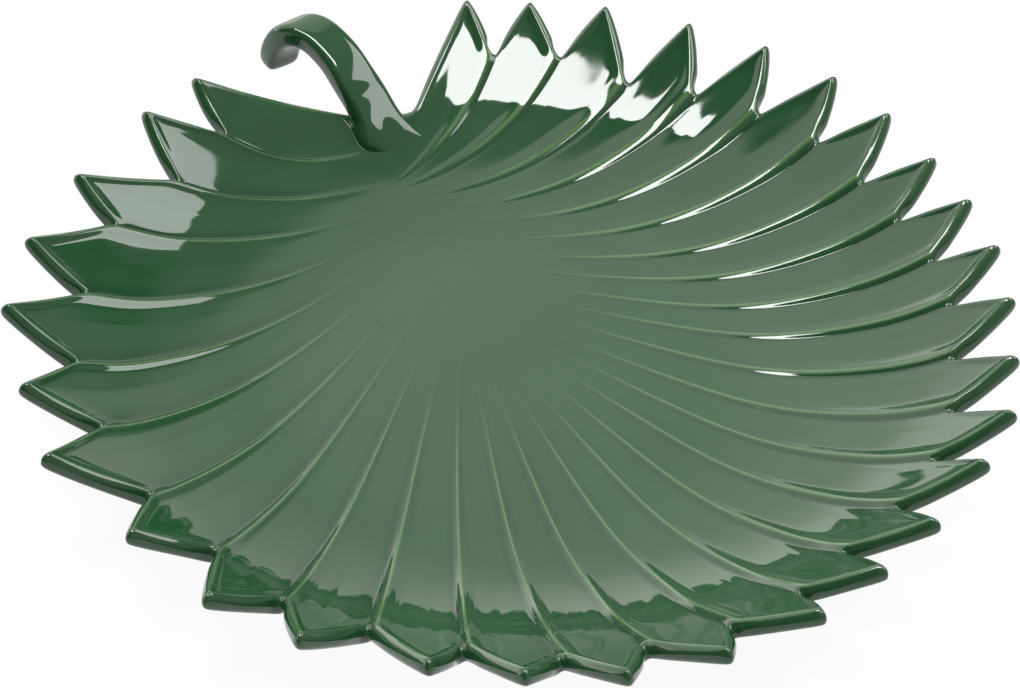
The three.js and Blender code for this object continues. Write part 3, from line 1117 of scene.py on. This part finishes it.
@dataclass(frozen=True)
class Softbox:
    """One lamp, placed from the middle of the rim as the picture shows it, its width spun from the right."""

    name: str
    right: float
    back: float
    up: float
    width: float
    height: float
    spin: float
    radiance: float

    def hang(self, view: Viewpoint) -> None:
        """Create the lamp, facing the platter.

        Args:
            view: The directions that the studio is set out in.
        """
        data = bpy.data.lights.new(self.name, "AREA")
        data.shape = "RECTANGLE"
        data.size = self.width
        data.size_y = self.height
        data.energy = self.radiance * math.pi * self.width * self.height
        lamp = bpy.data.objects.new(self.name, data)
        bpy.context.collection.objects.link(lamp)
        away = view.from_picture(self.right, self.back, self.up)
        facing = away.normalized()
        wide = view.from_picture(1.0, 0.0, 0.0)
        wide = (wide - facing * wide.dot(facing)).normalized()
        wide = Matrix.Rotation(math.radians(self.spin), 3, facing) @ wide
        lamp.location = view.centre() + away
        lamp.rotation_mode = "QUATERNION"
        lamp.rotation_quaternion = Matrix((wide, facing.cross(wide), facing)).transposed().to_quaternion()


@dataclass
class Studio:
    """White floor, a pale sweep behind the platter, a dim ceiling and two softboxes."""

    view: Viewpoint
    floor_size: float = 12.0
    floor_glow: float = 0.94
    paper: Colour = (0.9, 0.9, 0.9, 1.0)
    white: Colour = (1.0, 1.0, 1.0, 1.0)
    sweep: float = 1.5
    sweep_lean: float = 0.25
    sweep_front: tuple[float, float] = (0.23, 0.32)
    sweep_right: tuple[float, float] = (0.44, 0.54)
    ceiling: float = 0.45
    ceiling_left: tuple[float, float] = (-0.25, 0.05)
    shade: float = 0.12
    gap_left: tuple[float, float] = (0.36, 0.52)
    gap_front: tuple[float, float] = (0.47, 0.55)
    gap_back: tuple[float, float] = (0.66, 0.74)
    low_height: float = 0.67
    low_lean: float = 0.6
    low_span: tuple[float, float] = (-0.15, 0.25)
    low_loss: float = 0.3
    horizon_top: tuple[float, float] = (0.1, 0.35)
    horizon_right: tuple[float, float] = (-0.1, 0.15)
    horizon_gain: float = 0.6
    tint: Colour = (1.0, 1.0, 0.95, 1.0)
    softboxes: Sequence[Softbox] = (
        Softbox("key_softbox", -0.067, -0.019, 1.0, 0.80, 0.19, -37.0, 17.0),
        Softbox("side_panel", 0.627, 0.229, 0.596, 0.406, 0.635, 27.5, 5.0),
    )

    def lay_floor(self) -> None:
        """Lay the white floor, which keeps a faint shadow."""
        bpy.ops.object.select_all(action="DESELECT")
        bpy.ops.mesh.primitive_plane_add(size=self.floor_size, location=(0.0, 0.0, 0.0))
        floor = bpy.context.object
        floor.name = "studio_floor"
        made = bpy.data.materials.new("studio_white")
        made.use_nodes = True
        shader = Shader(made.node_tree)
        rays = shader.node("ShaderNodeLightPath", {}, {}, "Is Camera Ray")
        path = rays.socket.node
        seen = rays
        for name in ("Is Glossy Ray", "Is Transmission Ray"):
            seen = seen.at_least(Value(shader, path.outputs[name]))
        paper = shader.node("ShaderNodeBsdfDiffuse", {}, {"Color": self.paper})
        glow = shader.node("ShaderNodeEmission", {}, {"Color": self.white, "Strength": 1.0})
        mixed = shader.node("ShaderNodeMixShader", {}, {0: seen * self.floor_glow, 1: paper, 2: glow})
        shader.node("ShaderNodeOutputMaterial", {}, {"Surface": mixed})
        floor.data.materials.append(made)

    def light_world(self) -> None:
        """Light the world: white to the camera, and to the platter a pale sweep under a dim ceiling."""
        world = bpy.data.worlds.new("studio_world")
        world.use_nodes = True
        bpy.context.scene.world = world
        shader = Shader(world.node_tree)
        towards = shader.node("ShaderNodeTexCoord", {}, {}, "Generated")
        right, back, up = (
            shader.node(
                "ShaderNodeVectorMath", {"operation": "DOT_PRODUCT"}, {0: towards, 1: tuple(axis)}, "Value"
            )
            for axis in (
                self.view.from_picture(1.0, 0.0, 0.0),
                self.view.from_picture(0.0, 1.0, 0.0),
                Vector((0.0, 0.0, 1.0)),
            )
        )
        behind = (back - right * self.sweep_lean).eased(*self.sweep_front)
        behind = behind * (1.0 - (right + up * self.sweep_lean).eased(*self.sweep_right))
        lit = right.eased(*self.ceiling_left)
        gap = right.eased(*self.gap_left) * back.eased(*self.gap_front) * (1.0 - back.eased(*self.gap_back))
        dim = self.shade + (self.ceiling - self.shade) * (lit * (1.0 - gap))
        low = (right + (self.low_height - up) * self.low_lean).eased(*self.low_span)
        horizon = (1.0 - up.eased(*self.horizon_top)) * (1.0 - right.eased(*self.horizon_right))
        sweep = self.sweep * (1.0 - low * self.low_loss + horizon * self.horizon_gain)
        level = dim + (sweep - dim) * behind
        studio = shader.node("ShaderNodeBackground", {}, {"Color": self.tint, "Strength": level})
        white = shader.node("ShaderNodeBackground", {}, {"Color": self.white, "Strength": 1.0})
        seen = shader.node("ShaderNodeLightPath", {}, {}, "Is Camera Ray")
        mixed = shader.node("ShaderNodeMixShader", {}, {0: seen, 1: studio, 2: white})
        shader.node("ShaderNodeOutputWorld", {}, {"Surface": mixed})

    def set_up(self) -> None:
        """Set up the floor, the world and the lamps."""
        self.lay_floor()
        self.light_world()
        for softbox in self.softboxes:
            softbox.hang(self.view)
        bpy.context.scene.view_settings.view_transform = "Standard"


def main() -> None:
    """Build the platter piece by piece and set it in the studio."""
    logging.basicConfig(level=logging.INFO)
    foot_low, foot_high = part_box("foot_ring")
    leaf_low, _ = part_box("leaf_dish")
    middle = np.array([(foot_low.x + foot_high.x) / 2, (foot_low.y + foot_high.y) / 2])
    dish = Dish(middle=middle, floor=leaf_low.z + LeafDish.wall)

    leaf = LeafDish(dish)
    leaf.dress(leaf.build(), Glaze("leaf_glaze").material())
    rim = dish.floor + RIM_ABOVE_WELL
    stem = StemHandle(dish, rim)
    stem.dress(stem.build(), Glaze("stem_glaze").material())
    foot = FootRing(dish)
    foot.dress(foot.build(), BareClay("bare_clay").material())

    view = Viewpoint(middle=middle, rim_height=rim)
    view.set_camera()
    Studio(view).set_up()


if __name__ == "__main__":
    main()
